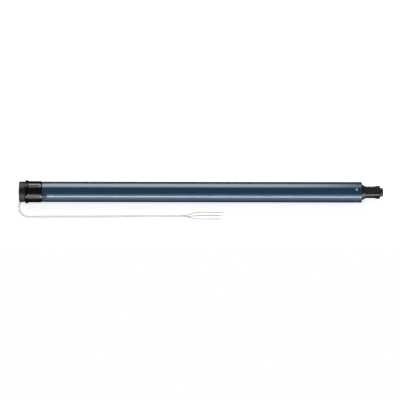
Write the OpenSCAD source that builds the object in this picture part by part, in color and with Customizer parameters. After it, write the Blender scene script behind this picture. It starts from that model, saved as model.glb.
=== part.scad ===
// Tubular motor for a roller blind: head, idling crown, motor tube, brake, planetary gearbox and drive shaft.
// The tube's axis is X, from the bracket face of the head (x = 0) to the tip of the drive shaft.

/* [Motor tube] */
// Outer diameter of the motor tube
tube_d = 45; // [42:0.5:50]
// Wall of the motor tube
tube_wall = 1.2; // [0.8:0.1:2]
// Length of the motor tube
tube_len = 697; // [660:1:760]
// Inner diameter of the lip rolled over the gearbox flange
lip_d = 40; // [38:0.5:41]
// Distance of the flange rivets from the end of the tube
rivet_inset = 11.6; // [8:0.1:20]
// Diameter of a rivet's shank
rivet_d = 3.2; // [2.4:0.1:4]
// Diameter of a rivet's round head
rivet_head_d = 4.8; // [4.2:0.1:7]
// How far a rivet's head stands proud of the tube
rivet_head_h = 0.9; // [0.5:0.1:1.5]
// Length of a rivet in the flange
rivet_len = 6; // [4:0.5:9]
// Number of flange rivets
rivet_count = 4; // [2:1:4]

/* [Head] */
// How far the head cap stands proud of the tube
cap_proud = 0.2; // [0:0.05:0.6]
// Length of the head cap
cap_len = 12.4; // [11.4:0.2:15]
// Radius of the cap's outer edge
cap_edge_r = 2; // [0.5:0.1:3]
// Number of fine grooves round the cap
cap_grooves = 4; // [2:1:5]
// Width of a cap groove
cap_groove_w = 0.7; // [0.4:0.1:1]
// Depth of a cap groove
cap_groove_depth = 0.5; // [0.2:0.1:0.8]
// Spacing of the cap grooves
cap_groove_pitch = 2; // [1.5:0.1:2.4]
// Diameter of the bracket socket
socket_d = 12; // [10:0.5:14]
// Depth of the bracket socket
socket_depth = 10; // [6:0.5:11]
// Pitch circle of the bracket screws
bracket_pcd = 29; // [26:0.5:30]
// Core diameter of a bracket screw hole
bracket_hole_d = 4.2; // [3.2:0.1:5]
// How far the neck that the crown runs on lies below the tube
neck_step = 2.5; // [2:0.1:3.5]
// Length of the neck's plug in the tube
plug_len = 18; // [14:1:26]
// Side wall of the neck
neck_side = 4; // [3:0.1:7]
// Solid end of the neck behind the cap
neck_wall = 9; // [7:0.5:12]
// Section diameter of the seal ring on the plug
seal_d = 1.7; // [1.2:0.1:2]
// Diameter of a cap screw
cap_screw_d = 3; // [2:0.1:3.5]
// Diameter of a cap screw's head
cap_screw_head_d = 5.2; // [4.4:0.1:5.6]
// Distance of a cap screw's axis from the cap's rim
cap_screw_inset = 7.2; // [6.7:0.1:8.2]

/* [Programming button] */
// Diameter of the button
button_d = 4; // [3:0.1:4.6]
// Travel of the button
button_travel = 1; // [0.5:0.1:1.2]
// How far the button's face lies below the bracket face
button_sunk = 0.6; // [0.3:0.1:1]
// Distance of the button's axis from the cap's rim
button_inset = 6.7; // [5.7:0.1:7.2]

/* [Crown] */
// Length of the crown
crown_len = 37.4; // [34:0.2:42]
// How far the crown lies below the tube between its pads
crown_step = 0.4; // [0:0.05:0.7]
// How far the pads, which fit the roller tube, stand proud of the motor tube
pad_proud = 0.9; // [0.5:0.05:1.5]
// Number of pads
pad_count = 6; // [4:1:6]
// Width of a pad
pad_w = 12.6; // [8:0.1:14]
// Length of a pad
pad_len = 33; // [24:0.5:33]
// Width of the groove in a pad
pad_groove_w = 4.4; // [2:0.1:6]
// Depth of the groove in a pad
pad_groove_depth = 0.7; // [0.3:0.1:0.9]
// How far the stop lugs, which meet the end of the roller tube, stand proud of the motor tube
lug_proud = 3; // [2:0.25:4.5]
// Length of a lug with its ramp
lug_len = 8; // [6:0.1:9]
// Width of a lug
lug_w = 9; // [5:0.1:11]
// How far the tongue behind one pad reaches over the motor tube
tongue_len = 10.4; // [6:0.2:14]
// Width of the tongue at the crown
tongue_w = 11; // [6:0.2:12]
// Thickness of the tongue
tongue_t = 0.9; // [0.6:0.1:1.2]
// Open groove between the cap and the crown
crown_groove = 1.2; // [0.6:0.1:2]

/* [Drive shaft] */
// Diameter over the ribs
drive_d = 25.8; // [24:0.1:28]
// Diameter at the bottom of the grooves
drive_core_d = 19.8; // [18.6:0.1:20.4]
// Diameter of the round tip
tip_d = 18.6; // [16:0.1:19.6]
// Length of the ribs
rib_len = 32; // [28:0.5:38]
// Length of the round tip
tip_len = 6.2; // [4:0.2:9]
// Radius of the tip's edge
tip_edge_r = 3; // [0.5:0.1:4]
// Number of ribs
rib_count = 8; // [6:2:10]
// Width of the groove between two ribs
rib_groove_w = 2.6; // [1.6:0.1:3.4]
// Length of a snap latch
latch_len = 15.6; // [13:0.2:18]
// Diameter over the noses of the snap latches
latch_d = 28.6; // [27.4:0.1:29.6]
// Length of a latch's nose
nose_len = 13; // [11:0.2:13.2]
// Radial thickness of a latch's tongue
latch_t = 2; // [1.4:0.1:2.4]
// Base diameter of the flange's cone
cone_d = 36; // [30:0.2:36]
// Length of the flange's cone
cone_len = 8.2; // [6:0.2:11]
// Diameter of the spindle in its bushes
spindle_d = 14; // [11:0.5:16]
// Diameter of the spindle's end in the drive shaft
spindle_end_d = 10; // [7:0.5:10.5]

/* [Gear train] */
// Teeth of each sun gear
sun_teeth = 15; // [12:3:18]
// Teeth of each planet gear
planet_teeth = 18; // [15:3:21]
// Least wall of the ring gear behind its teeth
ring_wall = 2; // [1.4:0.1:3]
// Diameter of a planet's pin
pin_d = 4; // [3:0.1:5]
// Face width of the first planets
planet_1_w = 12; // [9:0.5:15]
// Face width of the second planets
planet_2_w = 18; // [14:0.5:22]
// Face width of the third planets
planet_3_w = 28; // [22:0.5:32]
// Thickness of the first carrier's plate
carrier_1_t = 4; // [3:0.5:6]
// Thickness of the second carrier's plate
carrier_2_t = 5; // [4:0.5:7]
// Thickness of the output carrier's plate
carrier_3_t = 8; // [6:0.5:11]
// Thickness of the gearbox cover
cover_t = 6; // [5:0.5:9]
// Depth of the gearbox flange in the tube
flange_depth = 49; // [42:1:56]
// Length of an output bush
bush_len = 14; // [10:0.5:17]
// Wall of an output bush
bush_wall = 3; // [2:0.1:3.5]
// Width of the shaft seal
shaft_seal_w = 3.4; // [2.4:0.1:4]

/* [Motor] */
// Length of the stator's stack
stack_len = 110; // [80:1:120]
// Bore of the stator
stator_bore_d = 19.6; // [17:0.2:22]
// Air gap between the rotor and the stator, on the radius
air_gap = 0.3; // [0.2:0.05:0.5]
// Number of stator slots
slot_count = 12; // [6:2:16]
// Length of the winding past each end of the stack
overhang = 13; // [9:0.5:16]
// Thickness of an end shield
shield_t = 8; // [6:0.5:10]
// Diameter of the rotor's shaft
shaft_d = 8; // [6:0.2:9]
// Wall of a rotor bush
rotor_bush_wall = 2.6; // [1.6:0.1:3]
// Length of a rotor end ring
end_ring_len = 5; // [3:0.5:7]

/* [Brake and coupling] */
// Length of the brake's housing
brake_len = 36; // [30:0.5:42]
// Wall of the brake's housing
brake_wall = 2; // [1.4:0.1:3]
// Diameter of the brake disc
brake_d = 34; // [30:0.5:36]
// Thickness of the brake disc
brake_disc_t = 5; // [3:0.5:6]
// Thickness of the brake's lining
lining_t = 3; // [2:0.2:4]
// Wire of the brake's spring
spring_wire = 1.6; // [1:0.1:2]
// Turns of the brake's spring
spring_turns = 4; // [3:1:5]
// Travel of the brake disc
brake_travel = 0.5; // [0.3:0.1:0.8]
// Diameter of the elastic coupling
coupling_d = 26; // [22:0.5:30]
// Length of a coupling jaw
jaw_len = 8; // [6:0.5:10]
// Plate of a coupling half
jaw_plate_t = 6; // [4:0.5:8]

/* [Electronics] */
// Length of the board's tray
tray_len = 160; // [140:1:170]
// Wall of the board's tray
tray_wall = 1.6; // [1.2:0.1:2.2]
// Thickness of the circuit board
board_t = 1.6; // [1:0.1:2]
// Height of the board below the tube's axis
board_drop = 6; // [4:0.5:8]
// Diameter of the run capacitor
capacitor_d = 30; // [26:0.5:34]
// Length of the run capacitor
capacitor_len = 95; // [70:1:100]
// Wall of the capacitor's cradle
cradle_wall = 1.6; // [1.2:0.1:2]
// Diameter of a motor lead
lead_d = 2; // [1.4:0.1:2.2]

/* [Cable] */
// Diameter of the cable's sheath
cable_d = 6; // [5.8:0.1:6.8]
// Diameter of a core
core_d = 2.3; // [1.8:0.1:2.6]
// Diameter of a stripped core
strand_d = 1.1; // [0.8:0.1:1.4]
// Length of a stripped end
strip_len = 9; // [6:0.5:12]
// Wall of the cable's grommet
grommet_wall = 0.5; // [0.3:0.1:0.7]
// Depth of the cable's grommet in the cap
grommet_len = 8; // [5:0.5:9]

/* [Clearances] */
// Clearance of pieces that are pressed or slid together, on the radius
snug = 0.05; // [0.03:0.01:0.08]
// Running clearance of a shaft in its bore, on the radius
running = 0.06; // [0.03:0.01:0.1]
// End play of pieces that turn beside each other
play = 0.3; // [0.2:0.05:0.4]
// Thinning of a gear's teeth for backlash
backlash = 0.1; // [0.06:0.01:0.16]

/* [Hidden] */
$fn = 96;

// Angles round the axis are counted from +Y towards +Z
pad_angle = 38.5;
rib_angle = 28.2;
rivet_angle = 117;
button_angle = 112.5;
cap_screw_angles = [45, 135, 315];

// Stations along the axis, from the head to the drive end
over = 1;
crown_x = cap_len + crown_groove;
tube_x = crown_x + crown_len + play;
tube_end = tube_x + tube_len;
plug_end = tube_x + plug_len;
tube_r = tube_d / 2;
bore_r = tube_r - tube_wall;
fill_r = bore_r - snug;
cap_r = tube_r + cap_proud;
neck_r = tube_r - neck_step;
neck_bore_d = 2 * (neck_r - neck_side);
cap_screw_r = cap_r - cap_screw_inset;
button_axis_r = cap_r - button_inset;
crown_d = tube_d - 2 * crown_step;
pad_d = tube_d + 2 * pad_proud;
lug_d = tube_d + 2 * lug_proud;

// Drive end, counted back from the rolled lip
flange_end = tube_end - tube_wall;
flange_x = flange_end - flange_depth;
cone_end = tube_end + cone_len;
drive_x = cone_end + play;
rib_end = drive_x + rib_len;
drive_r = drive_d / 2;
core_r = drive_core_d / 2;
spindle_r = spindle_d / 2;
spindle_end_r = spindle_end_d / 2;
spindle_end = rib_end - 4;
bush_r = spindle_r + bush_wall;
seal_x = cone_end - shaft_seal_w - 1;

// Gear stages, counted back from the flange
ring_teeth = sun_teeth + 2 * planet_teeth;
pressure_angle = 25;
addendum = 0.9;
dedendum = 1.2;
flank_steps = 2;
gear_module = (fill_r - ring_wall) / (ring_teeth / 2 + dedendum);
centre_distance = gear_module * (sun_teeth + planet_teeth) / 2;
sun_turn = planet_teeth % 2 == 0 ? 180 / sun_teeth : 0;
pin_r = pin_d / 2;
plate_r = gear_module * (ring_teeth / 2 - addendum) - play;
carrier_3_x = flange_x - play - carrier_3_t;
planet_3_x = carrier_3_x - play - planet_3_w;
carrier_2_x = planet_3_x - play - carrier_2_t;
planet_2_x = carrier_2_x - play - planet_2_w;
carrier_1_x = planet_2_x - play - carrier_1_t;
planet_1_x = carrier_1_x - play - planet_1_w;
ring_x = planet_1_x - play;
cover_x = ring_x - cover_t;

// Coupling, brake and motor, counted back from the gearbox cover
pinion_hub_x = cover_x - play - jaw_plate_t;
hub_x = pinion_hub_x - jaw_len - play - jaw_plate_t;
brake_end = hub_x - 2;
brake_x = brake_end - brake_len;
lining_x = brake_end - brake_wall - lining_t;
disc_x = lining_x - snug - brake_disc_t;
front_shield_x = brake_x - shield_t;
stack_x = front_shield_x - overhang - play - stack_len;
rear_shield_x = stack_x - overhang - play - shield_t;
shaft_r = shaft_d / 2;
rotor_r = stator_bore_d / 2 - air_gap;
rotor_bush_r = shaft_r + rotor_bush_wall;
collar_r = shaft_r + 3;
collar_len = 4;
collar_x = brake_x + play;
spring_x = collar_x + collar_len;
disc_hub_len = 8;
pinion_journal_r = 5;
shaft_end = hub_x + jaw_plate_t;

// Electronics, counted from the head
tray_x = plug_end + play;
cradle_x = tray_x + tray_len + play;
capacitor_x = cradle_x + cradle_wall;
board_margin = 4;
board_x = tray_x + board_margin;
board_len = tray_len - 2 * board_margin;
board_w = 2 * sqrt(pow(fill_r - tray_wall, 2) - pow(board_drop, 2)) - 2 * play;
board_top = board_t - board_drop;

// Route of the cable on the surface that the motor lies on, counted from the cap's rim,
// then of its three cores, counted from the sheath's end
exit_x = 3;
exit_angle = 220;
cable_exit = [exit_x, cap_r * cos(exit_angle), cap_r * sin(exit_angle)];
cable_run = [
    [0, 0, 0], [-2, -4.6, -1], [-3.1, -9.5, -2.1], [-3.1, -14.5, -3.2], [-2, -19.4, -4.2], [0, -24, -5.2],
    [2.9, -28.1, -6.1], [6.7, -31.4, -6.8], [11, -33.9, -7.4], [15.8, -35.5, -7.7], [20.8, -36, -7.9],
    [27, -36, -7.9], [37, -36, -7.8], [57, -35.8, -7.7], [77, -35.7, -7.6], [97, -35.6, -7.6],
    [117, -35.4, -7.5], [137, -35.3, -7.4], [157, -35.2, -7.3], [177, -35.1, -7.2], [197, -35, -7.2],
    [217, -34.9, -7.1], [237, -34.7, -7], [257, -34.6, -6.9], [277, -34.5, -6.8], [297, -34.4, -6.7],
    [317, -34.3, -6.7], [337, -34.2, -6.6], [347, -34.1, -6.5], [355, -34.1, -6.5]
];
earth_run = [
    [0, 1.3, 0.6], [3, 1.3, 0.6], [8, 2.6, 0.3], [14, 5.5, -0.4], [20, 8.6, -1.1], [26, 10.8, -1.5],
    [32, 11.7, -1.6], [39, 12, -1.6], [47, 12, -1.5], [55, 11.9, -1.5], [63, 11.6, -1.5], [72, 11.3, -1.4],
    [80, 11.3, -1.4]
];
live_run = [
    [0, 0, -1.4], [3, 0, -1.4], [9, 0.4, -1.5], [16, 1.1, -1.6], [23, 1.8, -1.7], [30, 2.4, -1.7],
    [37, 2.9, -1.6], [45, 3.2, -1.6], [53, 3.4, -1.6], [62, 3.5, -1.5], [71, 3.5, -1.5], [80, 3.5, -1.5]
];
neutral_run = [
    [0, -1.3, 0.6], [3, -1.3, 0.6], [8, -2, 0.3], [14, -3.4, -0.4], [20, -4.8, -1.1], [26, -5.9, -1.5],
    [32, -6.6, -1.6], [39, -6.9, -1.6], [47, -7.1, -1.5], [55, -7.1, -1.5], [63, -7, -1.5],
    [72, -6.9, -1.4], [80, -6.9, -1.4]
];
cable_route = [for (p = cable_run) cable_exit + p];
sheath_end = cable_route[len(cable_route) - 1];
earth_route = [for (p = earth_run) sheath_end + p];
live_route = [for (p = live_run) sheath_end + p];
neutral_route = [for (p = neutral_run) sheath_end + p];
exit_step = cable_route[1] - cable_route[0];
exit_dir = exit_step / norm(exit_step);
grommet_r = cable_d / 2 + grommet_wall;

black = "#1b1b1d";
blue = "#22364c";
steel = "#9a9ca0";
bronze = "#a8793f";
copper = "#b8693a";

function polar(r, a) = [r * cos(a), r * sin(a)];
function involute(a) = tan(a) * 180 / PI - a;
function base_r(teeth) = gear_module * teeth / 2 * cos(pressure_angle);
function pitch_r(teeth) = gear_module * teeth / 2;

// Half angle of a tooth at its pitch circle, thinned for backlash
function half_tooth(teeth, thinning) = 90 / teeth * (1 - 2 * thinning / (PI * gear_module));

// Half angle of a tooth at any radius
function flank(r, teeth, half) =
    half + involute(pressure_angle) - involute(acos(base_r(teeth) / max(r, base_r(teeth))));

// Outline of a gear with involute flanks between two radii
function gear_points(teeth, low, high, half) =
    let (
        start = max(low, base_r(teeth)),
        steps = [for (i = [0:flank_steps]) start + (high - start) * i / flank_steps],
        radii = low < start ? concat([low], steps) : steps,
        last = len(radii) - 1
    )
    [
        for (t = [0:teeth - 1])
            each concat(
                [for (i = [0:last]) polar(radii[i], 360 * t / teeth - flank(radii[i], teeth, half))],
                [for (i = [last:-1:0]) polar(radii[i], 360 * t / teeth + flank(radii[i], teeth, half))]
            )
    ];

// Rings of points swept along a route, each square to its run
function heading(route, i) =
    let (step = route[min(i + 1, len(route) - 1)] - route[max(i - 1, 0)])
    i == 0 ? unit(route[1] - route[0]) : i == len(route) - 1 ? unit(route[i] - route[i - 1]) : unit(step);
function unit(v) = v / norm(v);
function ring_points(route, i, r, sides, pole) =
    let (along = heading(route, i), side = unit(cross(along, pole)), up = cross(side, along))
    [for (k = [0:sides - 1]) route[i] + r * (cos(360 * k / sides) * side + sin(360 * k / sides) * up)];

// Solid tube along a route that never runs along its pole
module swept(route, d, sides, pole = [0, 0, 1]) {
    count = len(route);
    points = [for (i = [0:count - 1]) each ring_points(route, i, d / 2, sides, pole)];
    walls = [
        for (i = [0:count - 2], k = [0:sides - 1])
            let (a = i * sides + k, b = i * sides + (k + 1) % sides)
            each [[a, b, b + sides], [a, b + sides, a + sides]]
    ];
    first = [for (k = [sides - 1:-1:0]) k];
    last = [for (k = [0:sides - 1]) (count - 1) * sides + k];
    polyhedron(points = points, faces = concat([first], walls, [last]), convexity = 6);
}

// Local Z becomes the tube's axis, local X and Y become Y and Z
module along(x) {
    translate([x, 0, 0])
        rotate([90, 0, 90])
            children();
}

// Local Z points away from the axis, at an angle round it
module outward(x, angle, r = 0) {
    along(x)
        rotate([0, 0, angle])
            translate([r, 0, 0])
                rotate([0, 90, 0])
                    children();
}

// Copies round a circle
module around(count, r, first = 0) {
    for (i = [0:count - 1])
        rotate([0, 0, first + 360 * i / count])
            translate([r, 0, 0])
                children();
}

module ring(outer, inner, length) {
    difference() {
        cylinder(r = outer, h = length);
        translate([0, 0, -over])
            cylinder(r = inner, h = length + 2 * over);
    }
}

// Outline that rounds off an outer corner of a turned profile, pointing up or down its axis
module corner(r, z, radius, way) {
    translate([r - radius, z - way * radius])
        scale([1, way])
            difference() {
                square(radius + over);
                circle(radius);
            }
}

// Long bar with round ends, in plan
module stadium(length, width) {
    square([length - width, width], center = true);
    for (end = [-1, 1])
        translate([end * (length - width) / 2, 0])
            circle(d = width);
}

module gear_shape(teeth, turn = 0) {
    r = pitch_r(teeth);
    rotate([0, 0, turn])
        polygon(gear_points(
            teeth, r - dedendum * gear_module, r + addendum * gear_module, half_tooth(teeth, backlash)));
}

module motor_tube() {
    color(blue)
        difference() {
            along(tube_x)
                rotate_extrude()
                    difference() {
                        union() {
                            translate([bore_r, 0])
                                square([tube_wall, tube_len]);
                            translate([lip_d / 2, tube_len - tube_wall])
                                square([tube_r - lip_d / 2, tube_wall]);
                        }
                        corner(tube_r, tube_len, tube_wall, 1);
                    }
            for (i = [0:rivet_count - 1])
                outward(tube_end - rivet_inset, rivet_angle + 360 * i / rivet_count)
                    cylinder(d = rivet_d + 2 * snug, h = tube_d);
        }
}

module flange_rivets() {
    head_r = (pow(rivet_head_d / 2, 2) + pow(rivet_head_h, 2)) / (2 * rivet_head_h);
    color(steel)
        for (i = [0:rivet_count - 1])
            outward(tube_end - rivet_inset, rivet_angle + 360 * i / rivet_count) {
                translate([0, 0, bore_r - rivet_len + tube_wall])
                    cylinder(d = rivet_d, h = rivet_len);
                translate([0, 0, tube_r])
                    intersection() {
                        translate([0, 0, rivet_head_h - head_r])
                            sphere(r = head_r);
                        cylinder(d = rivet_head_d, h = rivet_head_h + over);
                    }
            }
}

// Head

module head_cap() {
    back_r = neck_r - 4;
    color(black)
        difference() {
            along(0)
                rotate_extrude()
                    difference() {
                        square([cap_r, cap_len]);
                        corner(cap_r, 0, cap_edge_r, -1);
                        for (i = [0:cap_grooves - 1])
                            translate([cap_r - cap_groove_depth, cap_len - 2 - cap_groove_pitch * i])
                                square([cap_groove_depth + over, cap_groove_w]);
                    }
            along(-over)
                cylinder(d = socket_d, h = socket_depth + over);
            along(-over)
                around(4, bracket_pcd / 2)
                    cylinder(d = bracket_hole_d, h = socket_depth + over);
            for (a = cap_screw_angles)
                along(-over)
                    rotate([0, 0, a])
                        translate([cap_screw_r, 0, 0]) {
                            cylinder(d = cap_screw_d + 2 * snug, h = cap_len + 2 * over);
                            cylinder(d = cap_screw_head_d + 2 * snug, h = cap_screw_d + over);
                        }
            along(0)
                rotate([0, 0, button_angle])
                    translate([button_axis_r, 0, 0]) {
                        translate([0, 0, -over])
                            cylinder(d = button_d + 2 * running, h = cap_len + 2 * over);
                        translate([0, 0, cap_len - button_flange_room])
                            cylinder(r = button_flange_r + play, h = button_flange_room + over);
                    }
            grommet_hole();
        }
}

button_flange_r = button_d / 2 + 0.8;
button_flange_t = 1.2;
button_flange_room = button_flange_t + button_travel + 0.6;

module prog_button() {
    color(black)
        along(button_sunk)
            rotate([0, 0, button_angle])
                translate([button_axis_r, 0, 0]) {
                    cylinder(d = button_d, h = cap_len - button_sunk - button_flange_room + snug + over / 2);
                    translate([0, 0, cap_len - button_sunk - button_flange_room + snug])
                        cylinder(r = button_flange_r, h = button_flange_t);
                }
}

module prog_switch() {
    size = button_flange_r * 2;
    pin_gap = 0.1;
    color("dimgray")
        along(cap_len)
            rotate([0, 0, button_angle])
                translate([button_axis_r, 0, 0]) {
                    translate([-size / 2, -size / 2, play])
                        cube([size, size, switch_depth]);
                    translate([0, 0, pin_gap + button_travel + button_flange_t + snug - button_flange_room])
                        cylinder(
                            r = button_d / 4,
                            h = button_flange_room - pin_gap - button_travel - button_flange_t + play + over / 2);
                }
}

switch_depth = 3.6;

module head_neck() {
    pocket = button_flange_r + play;
    color(black)
        difference() {
            union() {
                along(cap_len)
                    cylinder(r = neck_r, h = tube_x - cap_len);
                along(tube_x)
                    cylinder(r = fill_r, h = plug_len);
            }
            along(cap_len + neck_wall)
                cylinder(d = neck_bore_d, h = plug_end);
            along(tube_x + plug_len / 2 - seal_d / 2 - snug)
                ring(tube_r, fill_r - seal_d, seal_d + 2 * snug);
            for (a = cap_screw_angles)
                along(cap_len - over)
                    rotate([0, 0, a])
                        translate([cap_screw_r, 0, 0])
                            cylinder(d = cap_screw_d + 2 * snug, h = neck_wall + 2 * over);
            along(cap_len)
                rotate([0, 0, button_angle])
                    translate([button_axis_r - pocket, -pocket, -over])
                        cube([2 * pocket, 2 * pocket, switch_depth + play + over + snug]);
            grommet_hole();
        }
}

module cap_screws() {
    length = cap_len + neck_wall - 2;
    color(steel)
        for (a = cap_screw_angles)
            along(0)
                rotate([0, 0, a])
                    translate([cap_screw_r, 0, 0]) {
                        translate([0, 0, play])
                            difference() {
                                cylinder(d = cap_screw_head_d, h = cap_screw_d - play);
                                translate([0, 0, -over])
                                    cylinder(d = cap_screw_head_d / 2, h = cap_screw_d / 2 + over, $fn = 6);
                            }
                        translate([0, 0, cap_screw_d - over / 2])
                            cylinder(d = cap_screw_d, h = length - cap_screw_d + over / 2);
                    }
}

module head_seal() {
    color("dimgray")
        along(tube_x + plug_len / 2)
            rotate_extrude()
                translate([fill_r - seal_d / 2, 0])
                    circle(d = seal_d - 2 * snug, $fn = 32);
}

// Local Z runs along the cable where it leaves the head, from the cable's first point
module at_exit() {
    translate(cable_route[0])
        rotate([0, acos(exit_dir[2]), atan2(exit_dir[1], exit_dir[0])])
            children();
}

// The cable's way into the cap, open towards the bracket face
module exit_slot(r, depth, rise) {
    at_exit()
        translate([0, 0, -depth]) {
            cylinder(r = r, h = depth + rise);
            translate([-r, -cap_len, 0])
                cube([2 * r, cap_len, depth + rise]);
        }
}

module grommet_hole() exit_slot(grommet_r + snug, grommet_len + snug, cap_len);

module cable_grommet() {
    color(black)
        intersection() {
            exit_slot(grommet_r, grommet_len, 0);
            along(play)
                cylinder(r = cap_r - snug, h = cap_len);
        }
}

// Crown

// A pad's outline, drawn square to the axis and cut off at a diameter
module pad(length, width, d) {
    intersection() {
        along(0)
            cylinder(d = d, h = tube_x);
        outward(crown_x + pad_start + pad_len / 2, 0)
            linear_extrude(lug_d)
                rotate([0, 0, 180])
                    stadium(length, width);
    }
}

pad_start = 3;
pad_step = 1;
crown_edge = 1.2;

module pads() {
    for (i = [0:pad_count - 1])
        rotate([pad_angle + 360 * i / pad_count, 0, 0]) {
            pad(pad_len, pad_w, pad_d - pad_step);
            pad(pad_len - pad_step, pad_w - pad_step, pad_d);
        }
}

module pad_grooves() {
    floor_r = pad_d / 2 - pad_groove_depth;
    for (i = [0:pad_count - 1])
        outward(crown_x + pad_start + pad_len / 2, pad_angle + 360 * i / pad_count, floor_r)
            linear_extrude(lug_d)
                stadium(pad_len - pad_w + pad_groove_w, pad_groove_w);
}

// Stop lugs at the head's end of the pads, with a ramp towards the roller tube
module lugs() {
    root_r = crown_d / 2 - over;
    top = lug_d / 2;
    intersection() {
        along(crown_x)
            rotate_extrude()
                polygon([
                    [root_r, 0], [top - 1, 0], [top - 0.3, lug_len * 0.1], [top, lug_len * 0.2], [top, lug_len * 0.5],
                    [top - 0.4, lug_len * 0.68], [pad_d / 2, lug_len], [root_r, lug_len]
                ]);
        for (i = [0:pad_count - 1])
            rotate([pad_angle + 360 * i / pad_count, 0, 0])
                translate([0, 0, -lug_w / 2])
                    cube([tube_x, lug_d, lug_w]);
    }
}

// A tongue behind one pad, which keys the crown to the seam of the roller tube
module tongue() {
    start = crown_x + pad_start + pad_len - (pad_w - pad_groove_w) / 2;
    under = tube_r + play;
    reach = tube_x + tongue_len - start;
    shoulder = reach - tongue_len * 0.6;
    intersection() {
        union() {
            along(start)
                ring(under + tongue_t, under, reach);
            along(start)
                ring(under + tongue_t, crown_d / 2 - over, crown_x + crown_len - crown_edge - start);
        }
        outward(start, pad_angle + 360 * 2 / pad_count)
            linear_extrude(lug_d)
                rotate([0, 0, 180])
                    polygon([
                        [0, -tongue_w / 2], [shoulder, -tongue_w / 2], [reach, -tongue_w / 4],
                        [reach, tongue_w / 4], [shoulder, tongue_w / 2], [0, tongue_w / 2]
                    ]);
    }
}

module crown() {
    color(black)
        difference() {
            union() {
                tongue();
                along(crown_x)
                    cylinder(d = crown_d, h = crown_len - crown_edge);
                along(crown_x + crown_len - crown_edge)
                    cylinder(d1 = crown_d, d2 = crown_d - 2 * crown_edge, h = crown_edge);
                difference() {
                    pads();
                    pad_grooves();
                }
                lugs();
            }
            along(0)
                cylinder(r = neck_r + running, h = tube_end);
        }
}

// Electronics

module terminal_block() {
    size = neck_bore_d / 2;
    depth = tray_x - cap_len - neck_wall - 2 * play;
    color("lightgray")
        along(cap_len + neck_wall + play)
            translate([-size / 2, -neck_bore_d / 4, 0])
                difference() {
                    cube([size, size / 2, depth]);
                    for (i = [1:3])
                        translate([size * i / 4, size / 4, depth - size / 2])
                            cylinder(d = core_d + 2 * running, h = depth);
                }
}

module board_tray() {
    rail = 2;
    rail_low = -board_drop - rail;
    color("dimgray")
        difference() {
            union() {
                along(tray_x)
                    ring(fill_r, fill_r - tray_wall, tray_len);
                along(tray_x)
                    intersection() {
                        cylinder(r = fill_r - tray_wall / 2, h = tray_len);
                        for (side = [-1, 1])
                            translate([side * (board_w / 2 - rail / 2) - rail, rail_low, 0])
                                cube([2 * rail, 2 * rail + board_t, tray_len]);
                    }
            }
            translate([tray_x - over, -fill_r, board_top + 2 * rail])
                cube([tray_len + 2 * over, 2 * fill_r, 2 * fill_r]);
            translate([tray_x - over, -board_w / 2 - snug, -board_drop - snug])
                cube([tray_len + 2 * over, board_w + 2 * snug, board_t + 2 * snug]);
        }
}

module circuit_board() {
    color("darkgreen")
        translate([board_x, -board_w / 2, -board_drop])
            cube([board_len, board_w, board_t]);
}

module relays() {
    size = [19, 15, 15.5];
    spacing = 24;
    color("black")
        for (i = [0, 1])
            translate([board_x + 14 + spacing * i, -size[1] / 2, board_top])
                cube(size);
}

module supply_transformer() {
    size = [26, 22, 17];
    color("gold")
        translate([board_x + board_len - size[0] - 16, -size[1] / 2, board_top])
            cube(size);
}

module radio_module() {
    size = [18, 14, 3];
    color("seagreen")
        translate([board_x + board_len / 2 - 4, -size[1] / 2, board_top])
            cube(size);
}

module run_capacitor() {
    edge = 1.5;
    color("gainsboro")
        along(capacitor_x)
            rotate_extrude()
                difference() {
                    square([capacitor_d / 2, capacitor_len]);
                    corner(capacitor_d / 2, 0, edge, -1);
                    corner(capacitor_d / 2, capacitor_len, edge, 1);
                }
}

module capacitor_cradle() {
    length = capacitor_len + 2 * cradle_wall;
    inner_r = capacitor_d / 2 + snug;
    color("dimgray")
        along(cradle_x)
            difference() {
                union() {
                    ring(inner_r + cradle_wall, inner_r, length);
                    cylinder(r = inner_r + cradle_wall / 2, h = cradle_wall - snug);
                    for (z = [0, length / 2, length - 2 * cradle_wall])
                        translate([0, 0, z])
                            ring(fill_r, inner_r + cradle_wall / 2, 2 * cradle_wall);
                }
                lead_slots(length);
            }
}

lead_wall = 0.8;
lead_r = fill_r - lead_d / 2 - lead_wall;
lead_spread = 10;

module lead_slots(length) {
    for (i = [-1:1])
        rotate([0, 0, 90 + lead_spread * i])
            translate([lead_r, 0, -over])
                cylinder(d = lead_d + 2 * snug, h = length + 2 * over);
}

module motor_leads() {
    color("firebrick")
        along(tray_x + tray_len + play)
            for (i = [-1:1])
                rotate([0, 0, 90 + lead_spread * i])
                    translate([lead_r, 0, 0])
                        cylinder(d = lead_d, h = rear_shield_x - tray_x - tray_len - play);
}

// Motor

// Disc with a hub for the rotor's bush and openings for leads and air
module end_shield(x, hub_way) {
    hub_r = rotor_bush_r + 3;
    rim = 4;
    window_d = fill_r - hub_r - rim;
    along(x)
        difference() {
            union() {
                ring(fill_r, fill_r - rim, shield_t);
                translate([0, 0, hub_way > 0 ? shield_t / 2 : 0])
                    cylinder(r = fill_r - rim / 2, h = shield_t / 2);
                cylinder(r = hub_r, h = shield_t);
            }
            translate([0, 0, -over])
                cylinder(r = rotor_bush_r + snug, h = shield_t + 2 * over);
            translate([0, 0, -over])
                around(6, hub_r + (fill_r - rim - hub_r) / 2, 30)
                    cylinder(d = window_d, h = shield_t + 2 * over);
        }
}

module rear_end_shield() {
    color(steel)
        end_shield(rear_shield_x, -1);
}

module front_end_shield() {
    color(steel)
        end_shield(front_shield_x, 1);
}

module rotor_bushes() {
    color(bronze)
        for (x = [rear_shield_x, front_shield_x])
            along(x)
                ring(rotor_bush_r, shaft_r + running, shield_t);
}

// Slot of the stator, from a narrow mouth at the bore to a wide back
slot_low = stator_bore_d / 2 + 1.4;
slot_high = fill_r - 4.4;
slot_mouth = 1.6;

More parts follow.
